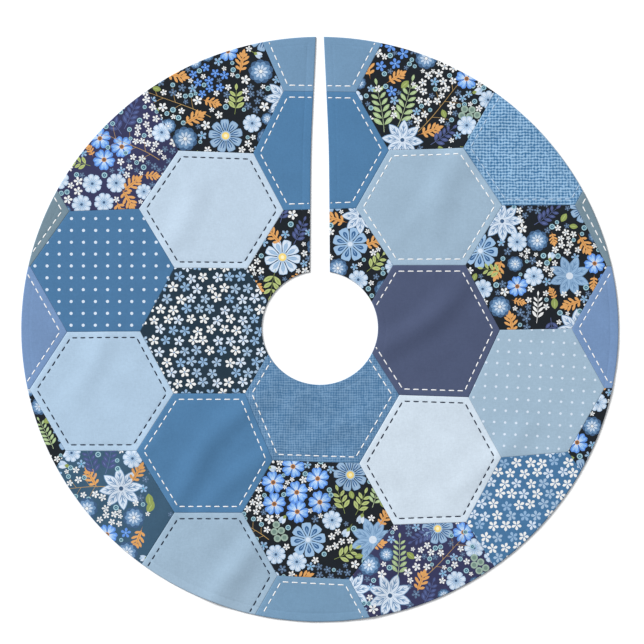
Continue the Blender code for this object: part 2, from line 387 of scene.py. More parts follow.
# ---- printed motifs
def petal(inner, outer, width, fat=1.5, blunt=0.65, notch=0.0, points=6):
    """A petal or leaf along +X. fat moves its widest place outwards, and blunt below 1 rounds it."""
    t = np.linspace(0, 1, points)
    along = inner + (outer - inner) * t
    along[-1] -= notch
    half = width / 2 * np.sin(np.pi * t ** fat).clip(0) ** blunt
    upper = np.column_stack([along, half])
    lower = np.column_stack([along[-2:0:-1], -half[-2:0:-1]])
    return np.vstack([upper, lower])


def turned(points, degrees, x=0.0, y=0.0):
    c, s = math.cos(math.radians(degrees)), math.sin(math.radians(degrees))
    return np.column_stack([
        x + points[:, 0] * c - points[:, 1] * s,
        y + points[:, 0] * s + points[:, 1] * c,
    ])


def whorl(shapes, count, offset=0):
    """The same shapes repeated round a centre."""
    return [(turned(p, offset + 360 * i / count), dye) for i in range(count) for p, dye in shapes]


def disc(radius, dye, steps=12, x=0, y=0):
    return (circle(radius, steps, (x, y)), dye)


def petals(r, *rows):
    """Petals by the dye, the numbers that petal takes and a turn, their lengths in shares of r."""
    shapes = []
    for dye, inner, outer, width, fat, blunt, notch, points, *way in rows:
        outline = petal(inner * r, outer * r, width * r, fat, blunt, notch * r, points)
        if way:
            outline = turned(outline, way[0], *(share * r for share in way[1:]))
        shapes.append((outline, dye))
    return shapes


def daisy(r, edge="steel", body="petal_grey", vein="denim"):
    leaf = petals(r, (edge, 0.08, 1, 0.46, 2.2, 0.5, 0.08, 9), (body, 0.08, 0.98, 0.41, 2.2, 0.5, 0.08, 9),
                  (vein, 0.20, 0.78, 0.20, 1.6, 0.7, 0, 7), ("haze", 0.34, 0.88, 0.08, 1.2, 0.9, 0, 5))
    heart = [disc(0.28 * r, "haze"), disc(0.21 * r, "butter"), disc(0.10 * r, "cream", 8)]
    return whorl(leaf, 9) + heart, [(0, 0, 0.94 * r)]


def scallop(r):
    leaf = petals(r, ("powder", 0.05, 1, 0.55, 2.2, 0.5, 0.06, 8),
                  ("frost", 0.05, 0.97, 0.50, 2.2, 0.5, 0.06, 8),
                  ("snow", 0.30, 0.88, 0.24, 1.3, 0.8, 0, 5), ("powder", 0.22, 0.60, 0.08, 1, 1, 0, 4))
    heart = [disc(0.27 * r, "powder"), disc(0.20 * r, "haze", 10), disc(0.14 * r, "dusk", 8)]
    return whorl(leaf, 8) + heart, [(0, 0, 0.96 * r)]


def cornflower(r):
    """Five petals like hearts, each of two round lobes."""
    leaf = []
    for row, ways in ((("cornflower", 0.04, 1, 0.47, 2.1, 0.5, 0, 9), (14, -14)),
                      (("sky", 0.10, 0.88, 0.25, 1.5, 0.7, 0, 6), (12, -12)),
                      (("snow", 0.12, 0.58, 0.07, 1, 1, 0, 4), (17, 0, -17))):
        leaf += petals(r, *((*row, way) for way in ways))
    heart = [disc(0.22 * r, "oak", 10), disc(0.17 * r, "brown", 8)]
    return whorl(leaf, 5) + heart, [(0, 0, 0.93 * r)]


def soft_blossom(r):
    back = petals(r, ("dusk", 0.1, 1, 0.56, 1.9, 0.55, 0.05, 7))
    front = petals(r, ("steel", 0.1, 0.80, 0.42, 1.8, 0.6, 0, 6), ("frost", 0.1, 0.56, 0.20, 1.2, 0.9, 0, 5))
    return whorl(back, 9) + whorl(front, 9, 20) + [disc(0.13 * r, "white", 10)], [(0, 0, r)]


def star_flower(r, body="snow", vein="steel", heart="dusk"):
    leaf = petals(r, (vein, 0.05, 1, 0.46, 0.95, 0.8, 0, 8), (body, 0.07, 0.96, 0.40, 0.95, 0.85, 0, 8),
                  (vein, 0.16, 0.86, 0.050, 1, 1, 0, 4))
    for length, way, along in ((0.34, 24, 0.26), (0.34, -24, 0.26), (0.24, 22, 0.50), (0.24, -22, 0.50)):
        leaf += petals(r, (vein, 0, length, 0.04, 1, 1, 0, 4, way, along, 0))
    centre = [disc(0.17 * r, "snow"), disc(0.10 * r, heart, 10)]
    return whorl(leaf, 8) + centre, [(0, 0, 0.78 * r)]


def striped_flower(r):
    leaf = petals(r, ("powder", 0.05, 1, 0.51, 2.2, 0.5, 0.09, 9),
                  ("petal_blue", 0.05, 0.98, 0.47, 2.2, 0.5, 0.09, 9),
                  ("denim", 0.24, 0.74, 0.22, 1.8, 0.7, 0, 7), ("petal_blue", 0.34, 0.66, 0.04, 1.2, 1, 0, 4))
    return whorl(leaf, 8) + [disc(0.20 * r, "haze"), disc(0.13 * r, "snow", 8)], [(0, 0, r)]


def tiny_blossom(r, dye, heart):
    leaf = petals(r, (dye, 0.02, 1, 0.54, 1.8, 0.6, 0, 6))
    return whorl(leaf, 5) + [disc(0.16 * r, heart, 6)], [(0, 0, r * 0.90)]


def berry(r):
    return [disc(r, "aqua"), disc(0.60 * r, "teal_ring", 10), disc(0.22 * r, "aqua", 6)], [(0, 0, r)]


def bent(length, bow, steps=8):
    """A line from the origin along +X that bows sideways, and its direction in degrees."""
    t = np.linspace(0, 1, steps)
    points = np.column_stack([length * t, bow * length * np.sin(np.pi * t / 2) * t])
    steps_taken = np.gradient(points, axis=0)
    return points, np.degrees(np.arctan2(steps_taken[:, 1], steps_taken[:, 0]))


def stem(points, directions, width, dye):
    """A tapering line."""
    normal = np.radians(directions + 90)
    half = width / 2 * np.linspace(1, 0.5, len(points))
    side = np.column_stack([np.cos(normal), np.sin(normal)]) * half[:, None]
    return (np.vstack([points + side, (points - side)[::-1]]), dye)


def frond(length, pairs, dye, light=None, leaflet=0.26, spread=42, slim=0.42, bow=0.12, width=0.9):
    """Leaflets in pairs along a bowed stem, smaller towards its tip."""
    points, directions = bent(length, bow, pairs + 3)
    shapes = [stem(points, directions, width * MM, light or dye)]
    for i in range(1, pairs + 2):
        size = leaflet * length * (1.0 - 0.45 * i / (pairs + 2))
        for turn in (spread, -spread) if i <= pairs else (0,):
            leaf = petal(0.02 * length, size, size * slim, 1.1, 0.8, points=6)
            vein = petal(0.1 * length, 0.8 * size, size * 0.10, 1.0, 1.0, points=4)
            x, y = points[i]
            shapes.append((turned(leaf, directions[i] + turn, x, y), dye))
            if light:
                shapes.append((turned(vein, directions[i] + turn, x, y), light))
    reach = leaflet * length * 0.72
    discs = [(*points[round(i * (pairs + 2) / 3)], reach * (1.0 - 0.12 * i)) for i in range(4)]
    return shapes, discs


def oak_leaf(length):
    """Slim fingers in pairs on a midrib, deeply cut."""
    shapes = petals(length, ("oak", 0, 0.72, 0.13, 1, 0.7, 0, 7), ("oak", 0.56, 1, 0.15, 1.1, 0.6, 0, 7))
    for place, size, turn in ((0.10, 0.27, 58), (0.28, 0.38, 50), (0.46, 0.38, 42), (0.62, 0.26, 36)):
        for way in (turn, -turn):
            shapes += petals(length, ("oak", 0, size, 0.115, 1.5, 0.6, 0, 7, way, place, 0))
    shapes += petals(length, ("oak_dark", -0.14, 0.8, 0.035, 1, 1, 0, 4))
    return shapes, [(0.3 * length, 0, 0.26 * length), (0.7 * length, 0, 0.24 * length)]


def berry_branch(length, rng, fruit=4.6 * MM):
    """A bowed twig with side twigs, and a berry at the end of each."""
    points, directions = bent(length, rng.uniform(0.10, 0.22), 11)
    shapes, discs, fruits = [stem(points, directions, 1.3 * MM, "twig")], [], []
    for i, turn in ((2, 52), (3, -48), (5, 44), (6, -52), (8, 40), (9, -44), (10, 4)):
        twig, ways = bent(length * rng.uniform(0.22, 0.33), math.copysign(0.16, turn), 5)
        place = (directions[i] + turn, *points[i])
        shapes.append((turned(stem(twig, ways, 0.9 * MM, "")[0], *place), "twig"))
        fruits.append(turned(twig[-1:], *place)[0])
    for x, y in fruits:
        shapes += [(turned(outline, 0, x, y), dye) for outline, dye in berry(fruit)[0]]
        discs.append((x, y, fruit * 1.15))
    discs += [(*point, 5 * MM) for point in points]
    return shapes, discs


def bud(length):
    shapes = petals(length, ("moss", -0.55, 0.1, 0.05, 1, 1, 0, 4), ("haze", 0, 1, 0.62, 1.2, 0.7, 0, 6),
                    ("snow", 0, 0.95, 0.36, 1.2, 0.8, 0, 6, 18),
                    ("frost", 0, 0.95, 0.36, 1.2, 0.8, 0, 6, -18),
                    ("moss", -0.05, 0.40, 0.34, 0.9, 0.8, 0, 6))
    return shapes, [(0.45 * length, 0, 0.42 * length)]


def single_leaf(length, dye, light):
    shapes = petals(length, (dye, 0, 1, 0.6, 1, 0.75, 0, 7), (light, 0.05, 0.85, 0.07, 1, 1, 0, 4))
    return shapes, [(0.5 * length, 0, 0.42 * length)]


def pod_cluster(r):
    """Round pale leaves in a loose bunch."""
    shapes, discs = [], []
    for x, y in ((0, 0), (1.15, 0.2), (0.1, 1.1), (1.3, 1.3), (-1.0, 0.6)):
        shapes += [disc(0.58 * r, "pod", 10, x * r, y * r), disc(0.34 * r, "pod_dark", 8, x * r, y * r)]
        discs.append((x * r, y * r, 0.56 * r))
    return shapes, discs


class Bouquet:
    """Motifs packed over one hexagon, about its middle. Each motif is its coloured outlines and the
    discs that stand for the room that it takes."""

    def __init__(self, seed, room):
        self.rng = random.Random(seed)
        self.room = room
        self.discs = np.zeros((0, 3))
        self.shapes = []

    def fits(self, discs):
        if not len(self.discs):
            return True
        apart = np.hypot(*(discs[:, None, :2] - self.discs[None, :, :2]).transpose(2, 0, 1))
        least = (discs[:, None, 2] + self.discs[None, :, 2]) * 0.95 + self.room
        return bool((apart > least).all())

    def put(self, motif, x, y, degrees, anyway=False):
        shapes, discs = motif
        discs = np.array(discs, float)
        discs[:, :2] = turned(discs[:, :2], degrees, x, y)
        if not anyway and not self.fits(discs):
            return False
        self.discs = np.vstack([self.discs, discs])
        self.shapes += [(turned(points, degrees, x, y), dye) for points, dye in shapes]
        return True

    def spot(self):
        turn, far = self.rng.uniform(0, 2 * math.pi), (PATCH_SIDE + 12 * MM) * math.sqrt(self.rng.random())
        return far * math.cos(turn), far * math.sin(turn)

    def scatter(self, kind, low, high, count, tries=40):
        """Single motifs of a kind and size anywhere that they fit."""
        for _ in range(count):
            motif = MOTIFS[kind](self.rng.uniform(low, high) * MM, self.rng)
            for _ in range(tries):
                if self.put(motif, *self.spot(), self.rng.uniform(0, 360)):
                    break

    def bunch(self, kind, low, high, count, spacing, spot=None, tries=30):
        """Several of one kind side by side."""
        left, (x, y) = count, spot or self.spot()
        for step in range(tries):
            if not left:
                break
            far, turn = spacing * MM * math.sqrt(step) * 0.55, step * 2.4
            motif = MOTIFS[kind](self.rng.uniform(low, high) * MM, self.rng)
            left -= self.put(motif, x + far * math.cos(turn), y + far * math.sin(turn),
                             self.rng.uniform(0, 72))


MOTIFS = {
    "daisy": lambda r, g: daisy(r),
    "pale_daisy": lambda r, g: daisy(r, "powder", "snow", "powder"),
    "scallop": lambda r, g: scallop(r),
    "cornflower": lambda r, g: cornflower(r),
    "soft": lambda r, g: soft_blossom(r),
    "star": lambda r, g: star_flower(r),
    "steel_star": lambda r, g: star_flower(r, "powder", "steel", "snow"),
    "striped": lambda r, g: striped_flower(r),
    "blue_tiny": lambda r, g: tiny_blossom(r, "cornflower", "sky"),
    "white_tiny": lambda r, g: tiny_blossom(r, "white", "haze"),
    "slate_tiny": lambda r, g: tiny_blossom(r, "slate", "powder"),
    "powder_tiny": lambda r, g: tiny_blossom(r, "powder", "cyan"),
    "berry": lambda r, g: berry(r),
    "pods": lambda r, g: pod_cluster(r),
    "branch": lambda length, g: berry_branch(length, g),
    "sage": lambda length, g: frond(length, 6, "sage", "sage_light", 0.25, 50, 0.36),
    "violet": lambda length, g: frond(length, 4, "violet_leaf", "violet_light", 0.34, 46),
    "lime": lambda length, g: frond(length, 3, "lime", "moss", 0.40, 48, 0.40),
    "moss": lambda length, g: frond(length, 5, "moss", "lime", 0.30, 44),
    "white_spray": lambda length, g: frond(length, 4, "white", None, 0.30, 40, 0.32),
    "small_spray": lambda length, g: frond(length, 3, "lime", None, 0.36, 46, 0.34, 0.1, 0.7),
    "oak": lambda length, g: oak_leaf(length),
    "bud": lambda length, g: bud(length),
    "leaf": lambda length, g: single_leaf(length, "moss", "lime"),
}
LONG_MOTIFS = ("branch", "sage", "violet", "lime", "moss", "white_spray", "oak")
# The motifs that show most, by kind and radius or length, each with the places of its middle on
# the skirt and for some a direction in degrees. All of these are judged, in millimetres.
PLACED = {
    "floral_patch_front": (
        ("cornflower", 22, (-50, -265), (-4, -288), (-87, -295), (-43, -314), (-85, -336), (0, -333),
         (-42, -351)),
        ("daisy", 34, (57, -281)), ("scallop", 20, (23, -367), (-82, -432), (-43, -446)),
        ("striped", 36, (-22, -404)), ("steel_star", 44, (99, -404)), ("pods", 12, (-85, -389)),
        ("branch", 60, (-118, -385, 140)), ("lime", 54, (80, -334, 60), (42, -328, 100), (52, -432, 20)),
        ("bud", 20, (80, -355), (55, -382)), ("oak", 40, (122, -360, 60), (30, -245, 200)),
        ("sage", 70, (110, -310, 70)),
    ),
    "floral_patch_left_front": (
        ("star", 42, (-371, -307)), ("oak", 44, (-428, -284, 120), (-340, -275, 60), (-340, -405, 250)),
        ("branch", 88, (-445, -300, 175)), ("violet", 62, (-425, -255, 100), (-390, -250, 70)),
        ("scallop", 20, (-350, -250)), ("soft", 22, (-435, -345), (-347, -362), (-360, -428)),
        ("leaf", 24, (-322, -352, 60), (-316, -340, 100)), ("cornflower", 20, (-397, -394)),
        ("blue_tiny", 10, (-362, -391)),
    ),
    "floral_patch_left_back": (
        ("cornflower", 21, (-413, 363), (-372, 347), (-405, 322)),
        ("scallop", 20, (-427, 276), (-382, 277), (-405, 240), (-447, 236), (-297, 374)),
        ("violet", 62, (-352, 408, 60), (-388, 398, 120)), ("branch", 100, (-342, 350, 145)),
        ("oak", 46, (-350, 277, 40), (-358, 243, 300)), ("lime", 46, (-452, 318, 160)),
    ),
    "floral_patch_back_left": (
        ("branch", 120, (-258, 432, 152)), ("soft", 25, (-111, 492), (-253, 362)),
        ("scallop", 19, (-127, 392)), ("lime", 56, (-155, 437, 80)), ("daisy", 35, (-177, 368)),
        ("oak", 46, (-233, 403, 30), (-146, 513, 80)), ("star", 40, (-66, 440)),
    ),
    "floral_patch_trunk_back": (
        ("pale_daisy", 37, (-70, 135)), ("lime", 62, (-92, 82, 253)), ("violet", 56, (-35, 184, 60)),
        ("oak", 44, (-88, 178, 130), (105, 165, 20)), ("striped", 36, (57, 160)), ("star", 36, (76, 214)),
        ("soft", 20, (34, 114)), ("scallop", 20, (72, 92)), ("lime", 52, (108, 124, 40)),
    ),
    "floral_patch_back_right": (
        ("sage", 102, (119, 426, 92), (167, 432, 66)), ("branch", 128, (230, 420, 44)),
        ("oak", 46, (211, 379, 20), (90, 505, 100)), ("pods", 12, (286, 418)), ("star", 40, (155, 360)),
        ("cornflower", 21, (276, 478)), ("soft", 22, (200, 517)), ("scallop", 20, (276, 388)),
        ("violet", 60, (234, 366, 30)),
    ),
    "floral_patch_right": (
        ("star", 40, (342, 204)), ("violet", 60, (428, 212, 30)), ("striped", 36, (301, 147)),
        ("oak", 44, (333, 108, 250), (498, 156, 300), (470, 45, 200), (358, 12, 100)),
        ("scallop", 20, (370, 164), (401, 98), (305, 74)), ("soft", 22, (408, 167), (337, 40)),
        ("soft", 16, (366, 122)), ("cornflower", 20, (370, 79)), ("steel_star", 40, (468, 99)),
        ("white_spray", 60, (411, 38, 80)), ("lime", 48, (322, 112, 160)),
    ),
    "floral_patch_far_right": (
        ("cornflower", 21, (481, -219)), ("soft", 20, (509, -188)), ("scallop", 19, (520, -143)),
        ("oak", 40, (478, -170, 80)),
    ),
    "floral_patch_far_left": (
        ("sage", 66, (-509, -200, 110)), ("soft", 18, (-524, -150)), ("daisy", 30, (-462, -215)),
    ),
    "floral_patch_front_right": (
        ("star", 43, (131, -510)), ("sage", 84, (152, -436, 80)), ("daisy", 32, (220, -383)),
        ("cornflower", 20, (268, -390)), ("scallop", 20, (288, -420), (254, -482)),
        ("pods", 12, (288, -452)), ("branch", 92, (232, -444, 40)), ("oak", 46, (190, -480, 70)),
        ("violet", 56, (206, -505, 60), (190, -395, 200)), ("soft", 22, (92, -452)),
    ),
}
# Bunches of small blossoms: kind, radius, how many, and their middle
BUNCHES = {
    "floral_patch_front": (("white_tiny", 7, 9, (-108, -330)), ("white_tiny", 7, 6, (40, -395)),
                           ("slate_tiny", 7, 7, (25, -440))),
    "floral_patch_left_front": (("white_tiny", 7, 7, (-400, -345)), ("slate_tiny", 7, 6, (-320, -310))),
    "floral_patch_left_back": (("white_tiny", 7, 7, (-335, 378)), ("white_tiny", 7, 5, (-374, 318)),
                               ("slate_tiny", 7, 6, (-300, 330))),
    "floral_patch_back_left": (("blue_tiny", 8.5, 9, (-208, 474)), ("slate_tiny", 7.5, 12, (-130, 462)),
                               ("white_tiny", 7, 7, (-205, 320))),
    "floral_patch_back_right": (("blue_tiny", 11, 8, (142, 507)), ("white_tiny", 8, 10, (224, 488)),
                                ("slate_tiny", 7, 7, (110, 360))),
    "floral_patch_right": (("white_tiny", 7, 8, (452, 170)), ("slate_tiny", 7, 7, (385, 215))),
    "floral_patch_far_left": (("white_tiny", 7, 8, (-492, -238)),),
    "floral_patch_front_right": (("white_tiny", 7, 8, (225, -425)), ("slate_tiny", 7, 7, (165, -380))),
    "floral_patch_trunk_back": (("white_tiny", 7, 6, (-100, 130)), ("slate_tiny", 6, 6, (100, 195))),
}
# What fills the ground that is left: kind, radius or length from and to, how many, and for some how
# often each is tried, or how far apart a bunch is
LARGE_FILLING = (
    ("daisy", 31, 35, 1), ("star", 36, 42, 1), ("scallop", 18, 21, 3), ("cornflower", 19, 22, 2),
    ("soft", 19, 24, 3), ("violet", 48, 62, 2), ("lime", 42, 54, 2), ("oak", 36, 46, 3),
    ("scallop", 14, 17, 3),
)
BUNCHED_FILLING = (
    ("white_tiny", 7.4, 8.6, 6, 18), ("slate_tiny", 7.4, 8.6, 7, 17), ("slate_tiny", 7.4, 8.6, 7, 17),
)
SMALL_FILLING = (
    ("soft", 12, 16, 8), ("bud", 16, 21, 4), ("oak", 24, 32, 4), ("small_spray", 28, 36, 6),
    ("leaf", 16, 22, 5), ("berry", 4.6, 5.6, 14), ("white_tiny", 8.4, 10, 16), ("powder_tiny", 7.4, 9, 30),
    ("white_tiny", 6, 7.4, 30, 60), ("slate_tiny", 5, 6.6, 30), ("berry", 3.4, 4.4, 14),
    ("white_tiny", 4.4, 5.6, 60, 25),
)
# Places where the print shows only its ground: middle and radius
BARE = {
    "floral_patch_left_front": ((-302, -300, 20), (-296, -335, 22), (-302, -372, 22), (-318, -404, 22)),
}


def floral(name, middle):
    """A dense mix of garden flowers, sprigs, berries and fallen leaves, about a patch's middle."""
    b = Bouquet(zlib.crc32(name.encode()), 0.3 * MM)
    bare = [(x * MM - middle[0], y * MM - middle[1], r * MM) for x, y, r in BARE.get(name, ())]
    b.discs = np.array(bare).reshape(-1, 3)
    for kind, extent, *places in PLACED[name]:
        for x, y, *direction in places:
            degrees = direction[0] if direction else b.rng.uniform(0, 360)
            back = extent / 2 if kind in LONG_MOTIFS else 0
            root_x = x - back * math.cos(math.radians(degrees))
            root_y = y - back * math.sin(math.radians(degrees))
            b.put(MOTIFS[kind](extent * MM, b.rng), root_x * MM - middle[0], root_y * MM - middle[1],
                  degrees, anyway=True)
    for kind, radius, count, (x, y) in BUNCHES.get(name, ()):
        b.bunch(kind, radius * 0.92, radius * 1.08, count, radius * 2.3,
                (x * MM - middle[0], y * MM - middle[1]))
    for what in LARGE_FILLING:
        b.scatter(*what)
    for what in BUNCHED_FILLING:
        b.bunch(*what)
    for what in SMALL_FILLING:
        b.scatter(*what)
    return b.shapes


def ditsy(seed):
    """Small five-petalled blossoms in staggered rows, none quite in line."""
    b = Bouquet(seed, 0.4 * MM)
    radii = (9.6, 10.8)
    pitch, reach = 23.5 * MM, int(PATCH_SIDE / (20 * MM)) + 1
    for row in range(-reach, reach + 1):
        for column in range(-reach, reach + 1):
            x = (column + row % 2 / 2 + b.rng.uniform(-0.13, 0.13)) * pitch
            y = (row * 0.86 + b.rng.uniform(-0.12, 0.12)) * pitch
            dye = b.rng.choice(("white", "white", "snow", "haze", "powder"))
            motif = tiny_blossom(b.rng.uniform(*radii) * MM, dye, "steel")
            b.put(motif, x, y, b.rng.uniform(0, 72))
    return b.shapes


def dots(pitch_x, pitch_y, radius, slant):
    """Rows of dots over one hexagon."""
    reach = int(PATCH_SIDE / min(pitch_x, pitch_y)) + 2
    shapes = []
    for column in range(-reach, reach + 1):
        for row in range(-reach, reach + 1):
            at = np.array([[(column + 0.35) * pitch_x, (row + 0.3) * pitch_y]])
            (x, y), = turned(at, slant)
            if math.hypot(x, y) < PATCH_SIDE + radius:
                shapes.append(disc(radius, "snow", 14, x, y))
    return shapes


# ---- where the edges are
def hexagon_distance(points, corners):
    """How far inside a patch's sides."""
    ways = side_normals(corners)
    return (points @ ways.T - (corners * ways).sum(axis=1)).min(axis=1)


def open_distance(points):
    """How far inside the skirt's rim, trunk hole and slit."""
    x, y = points.T
    r = np.hypot(x, y)
    slit = np.where(y > 0, beside_slit(x, y), 1.0)
    return np.minimum(np.minimum(OUTER_RADIUS - r, r - TRUNK_RADIUS), slit)


def rim(centre, radius):
    """The wedge of a circle about the trunk hole's centre that holds a patch."""
    turn = math.atan2(centre[1], centre[0]) + np.radians(np.arange(-54, 54.1, 0.75))
    return np.vstack([[[0.0, 0.0]], arc(radius, turn)])


# How far inside an edge the rings of points lie that round it, press its hem line and press its
# line of stitches
EDGE_RINGS = (0.35 * MM, 0.9 * MM, 1.8 * MM, 4.0 * MM)
HEM_RINGS = (13.8 * MM, 15.0 * MM, 16.2 * MM)
STITCH_RINGS = (9.6 * MM, 10.7 * MM, 11.5 * MM, 12.3 * MM, 13.4 * MM)


def patch_drawing(corners, side, stitched):
    """The outline of a patch, or of its half on one side of the slit, with the rings that shape it."""
    centre = corners.mean(axis=0)
    rimmed = np.hypot(*corners.T).max() > OUTER_RADIUS
    holed = math.hypot(*centre) - PATCH_SIDE < TRUNK_RADIUS
    bounds = [hexagon(corners, SEAM_GAP)]
    if rimmed:
        bounds.append(rim(centre, OUTER_RADIUS))
    if side:
        bounds.append(slit_side(side, 0))
    drawing = Drawing(bounds, [circle(TRUNK_RADIUS, 240)] if holed else [])
    for inset in EDGE_RINGS + (STITCH_RINGS if stitched else ()):
        drawing.add(hexagon(corners, inset + (SEAM_GAP if inset < 2 * MM else 0)))
    for inset in EDGE_RINGS + HEM_RINGS:
        if rimmed:
            drawing.add(rim(centre, OUTER_RADIUS - inset))
        if holed:
            drawing.add(circle(TRUNK_RADIUS + inset, 240))
        if side:
            drawing.add(slit_side(side, inset))
    return drawing


def dip(distance, middle, half_width):
    return np.exp(-((distance - middle) / half_width) ** 2)


def patch_surface(points, corners, stitched):
    """How high a patch's upper face stands over the sheet's underside."""
    seam = hexagon_distance(points, corners) - SEAM_GAP
    edge = open_distance(points)
    height = np.full(len(points), PATCH_TOP)
    height -= 0.50 * MM * np.clip(1 - seam / EDGE_ROUND, 0, 1) ** 2
    height -= 0.16 * MM * np.exp(-np.clip(seam, 0, 1) / (3 * MM))
    height -= 0.60 * MM * np.clip(1 - edge / (1.3 * MM), 0, 1) ** 2
    height -= 0.22 * MM * dip(edge, FACING_WIDTH, 0.9 * MM)
    if stitched:
        height -= 0.30 * MM * dip(seam + SEAM_GAP, STITCH_INSET, 1.3 * MM)
    return height


# ---- closed pieces of cloth
def filled(outline, pitch):
    """Triangles that fill an outline, with loose points between, and where each outline point is."""
    low, high = outline.min(0) + 0.41 * pitch, outline.max(0)
    gx, gy = np.meshgrid(np.arange(low[0], high[0], pitch), np.arange(low[1], high[1], pitch))
    loose = np.vstack([np.column_stack([gx.ravel(), gy.ravel()]), fold_points(outline.min(0), high)])
    for shift in ((-1, 0), (1, 0), (0, -1), (0, 1)):
        loose = loose[inside(loose + np.array(shift) * 0.5 * MM, outline)]
    verts = [Vector(p) for p in np.vstack([outline, loose]) / MM]
    out = delaunay_2d_cdt(verts, [], [list(range(len(outline)))], 1, 1e-5, True)
    home = {}
    for new, olds in enumerate(out[3]):
        for old in olds:
            home[old] = new
    triangles = np.array([f for f, owner in zip(out[2], out[5]) if 0 in owner])
    return np.array([tuple(v) for v in out[0]]) * MM, triangles, [home[i] for i in range(len(outline))]


def new_object(name, points, faces, material, smooth=50):
    mesh = bpy.data.meshes.new(name)
    mesh.from_pydata(points.tolist(), [], faces)
    mesh.update()
    mesh.shade_smooth()
    mesh.set_sharp_from_angle(angle=math.radians(smooth))
    mesh.materials.append(material)
    obj = bpy.data.objects.new(name, mesh)
    bpy.context.scene.collection.objects.link(obj)
    return obj


def paint(obj, colours):
    """Gives each corner of a piece's faces its dye, in the attribute that its material reads."""
    rgba = np.ones((len(obj.data.loops), 4), np.float32)
    rgba[:, :3] = np.asarray(colours, np.float32) * LIGHT_SHARE
    layer = obj.data.color_attributes.new("print", "FLOAT_COLOR", "CORNER")
    layer.data.foreach_set("color", rgba.ravel())


def closed_cloth(name, drawing, surface, other_side, ground, material, tint=None, facing_down=False):
    """A closed piece of cloth: its drawn face, a plain one on the other side, and the edge between.
    Also returns the drawn face's flat points and its flat area."""
    flat, triangles, dyes = drawing.triangles()
    ring = boundary_loop(triangles)
    plain, plain_triangles, home = filled(flat[ring], CLOTH_GRID)
    start = len(flat)
    faces = triangles.tolist() + (plain_triangles[:, ::-1] + start).tolist()
    for a, b, c, d in zip(ring, ring[1:] + ring[:1], home, home[1:] + home[:1]):
        if c != d:
            faces.append([b, a, c + start, d + start])
    if facing_down:
        faces = [face[::-1] for face in faces]
    colours = np.tile(np.array(ground, float), (sum(map(len, faces)), 1))
    drawn = np.array([DYES[dye] if dye else ground for dye in dyes])
    corners = np.repeat(drawn[:, None, :], 3, axis=1)
    if tint is not None:
        undyed = np.array([dye is None for dye in dyes])
        places = flat[triangles[undyed]]
        # A corner is coloured by a place a little inside its triangle
        places = places * 0.96 + places.mean(axis=1, keepdims=True) * 0.04
        corners[undyed] = tint(places.reshape(-1, 2), corners[undyed].reshape(-1, 3)).reshape(-1, 3, 3)
    colours[: corners.size // 3] = corners.reshape(-1, 3)
    obj = new_object(name, np.vstack([lay(flat, surface(flat)), lay(plain, other_side)]), faces, material)
    paint(obj, colours)
    return obj, flat, area_of(flat, triangles)


# ---- running stitches
DASH = 11.0 * MM
DASH_GAP = 5.4 * MM
DASH_PARTS = 25
LEAST_PARTS = 6  # what is left of a dash at the skirt's edge is dropped if it is shorter
THREAD = 2.6 * MM


def dash(start, end, lift):
    """A stitch of two-ply thread, arched out of the cloth: points and faces."""
    steps, sides = 18, 8
    t = np.linspace(0, 1, steps)
    middle = start + (end - start) * t[:, None]
    way = (end - start) / np.linalg.norm(end - start)
    normal = np.array([-way[1], way[0]])
    arch = np.sin(np.pi * t) ** 0.45
    height = lift(middle) + (-0.75 + 0.98 * arch) * MM
    thin = 0.55 + 0.45 * np.clip(np.minimum(t, 1 - t) * 9, 0, 1)
    points, faces = [], []
    for ply in (0, 1):
        twist = 2 * np.pi * (t * 3.5 + ply / 2)
        ply_radius = THREAD / 4 * 1.30 * thin
        away = THREAD / 4 * 0.72 * thin
        cx = middle + normal * (away * np.cos(twist))[:, None]
        cz = height + away * 0.6 * np.sin(twist)
        first = len(points) * sides
        for i in range(steps):
            turn = 2 * np.pi * np.arange(sides) / sides
            ring = cx[i] + np.outer(np.cos(turn) * ply_radius[i], normal)
            z = cz[i] + np.sin(turn) * ply_radius[i] * 0.9
            points.append(np.column_stack([ring, z]))
        for i in range(steps - 1):
            for k in range(sides):
                a, b = first + i * sides + k, first + i * sides + (k + 1) % sides
                faces.append([a, b, b + sides, a + sides])
        faces.append(list(range(first + sides - 1, first - 1, -1)))
        faces.append(list(range(first + (steps - 1) * sides, first + steps * sides)))
    return np.vstack(points), faces


def stitching(name, corners, side, surface, material):
    """Dashes along a patch's stitching line, cut short at the skirt's edges."""
    ends = moved_in(corners, STITCH_INSET)
    points, faces, total = [], [], 0

    def lift(flat):
        return lay(flat, surface(flat))[:, 2]

    for a, b in sides_of(ends):
        edge = np.linalg.norm(b - a)
        count = round(edge / (DASH + DASH_GAP))
        pitch = edge / count
        for i in range(count):
            along = np.array([pitch * i + DASH_GAP / 2, pitch * (i + 1) - DASH_GAP / 2])
            parts = a + np.outer(np.linspace(*along, DASH_PARTS), (b - a) / edge)
            on_cloth = open_distance(parts) > 2.0 * MM
            if side:
                on_cloth &= parts[:, 0] * side > 0
            if on_cloth.sum() < LEAST_PARTS:
                continue
            more, new = dash(*parts[on_cloth][[0, -1]], lift)
            faces += [[k + total for k in face] for face in new]
            points.append(more)
            total += len(more)
    if not points:
        return None
    return new_object(name, np.vstack(points), faces, material, 80)


# ---- coarse weaves
def lattice_noise(x, y, seed):
    """Smooth noise from -1 to 1, one cell to a unit."""
    table = np.random.default_rng(seed).uniform(-1, 1, (64, 64))
    ix, iy = np.floor(x).astype(int), np.floor(y).astype(int)
    fx, fy = x - ix, y - iy
    sx, sy = fx * fx * (3 - 2 * fx), fy * fy * (3 - 2 * fy)

    def pick(a, b):
        return table[(ix + a) % 64, (iy + b) % 64]

    near = pick(0, 0) * (1 - sx) + pick(1, 0) * sx
    far = pick(0, 1) * (1 - sx) + pick(1, 1) * sx
    return near * (1 - sy) + far * sy


